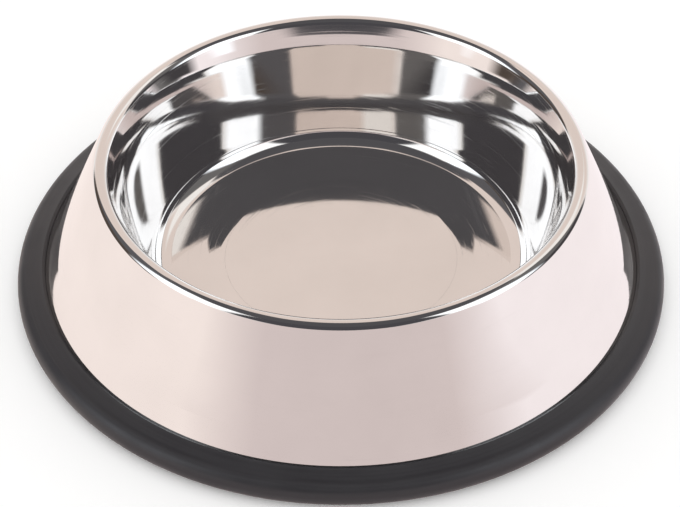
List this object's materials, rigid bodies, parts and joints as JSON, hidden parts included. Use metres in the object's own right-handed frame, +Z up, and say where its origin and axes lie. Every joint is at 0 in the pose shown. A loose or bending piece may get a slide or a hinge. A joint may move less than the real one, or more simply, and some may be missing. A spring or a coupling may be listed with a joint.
{
  "type": "dog bowl",
  "caption": "Round polished stainless steel dog bowl with a folded rim, a wide flared skirt that resists tipping, and a black rubber ring round its foot.",
  "frame": {"origin": "on the bowl's axis, in the plane of the table that the rubber ring stands on", "axes": "+Z up along the bowl's axis, X and Y level; the bowl is round, so neither is special"},
  "size_m": [0.23, 0.23, 0.052],
  "materials": {
    "polished_steel": "polished",
    "black_rubber": "matte"
  },
  "bodies": {
    "root": {"steel_shell": "polished_steel", "rubber_ring": "black_rubber"}
  },
  "joints": []
}
